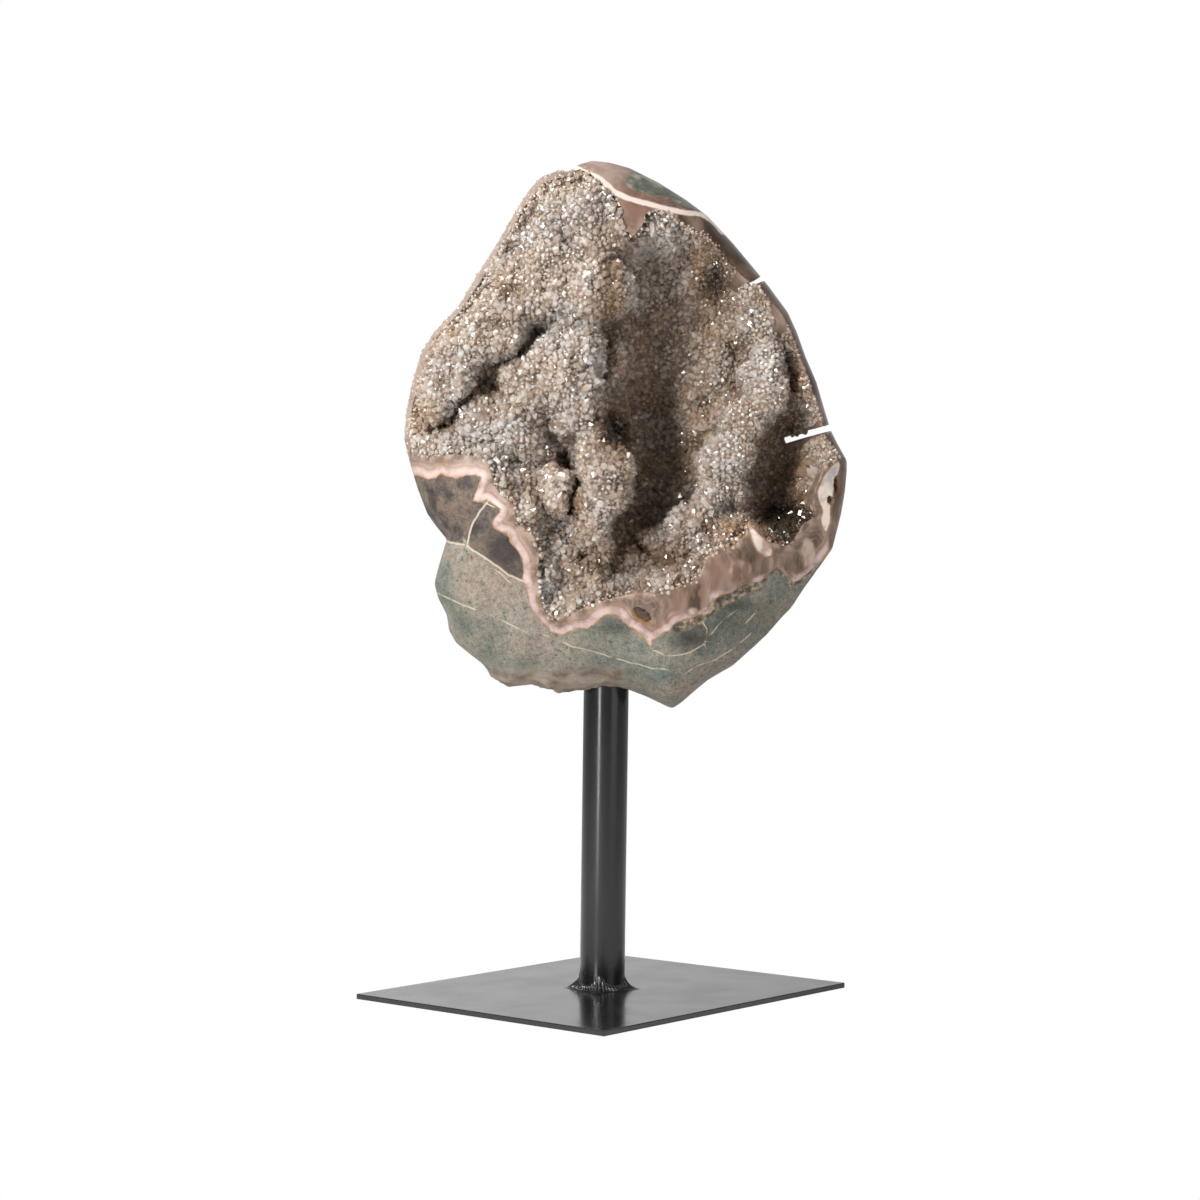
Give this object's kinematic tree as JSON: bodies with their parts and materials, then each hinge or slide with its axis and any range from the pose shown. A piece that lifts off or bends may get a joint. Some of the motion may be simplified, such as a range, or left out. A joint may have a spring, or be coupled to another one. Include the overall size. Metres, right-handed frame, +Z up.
{
  "type": "quartz geode specimen on stand",
  "caption": "Cut and polished druzy quartz geode held upright on a round post, which is welded to a flat black steel base plate.",
  "frame": {"origin": "centre of the base plate's underside", "axes": "+Z up along the post, the open crystal face looks along -Y, +X to the right seen from the front"},
  "size_m": [0.2754, 0.2784, 0.468],
  "materials": {
    "stone": "polished agate rim and basalt, rougher where it is broken",
    "quartz": "clear to smoky quartz tips on beige druse",
    "post_steel": "satin black",
    "weld": "glossy black over weld beads",
    "plate_steel": "satin black with fine specks"
  },
  "bodies": {
    "root": {"geode_stone": "stone", "crystal_crust": "quartz", "post": "post_steel", "weld_collar": "weld", "base_plate": "plate_steel"}
  },
  "joints": []
}
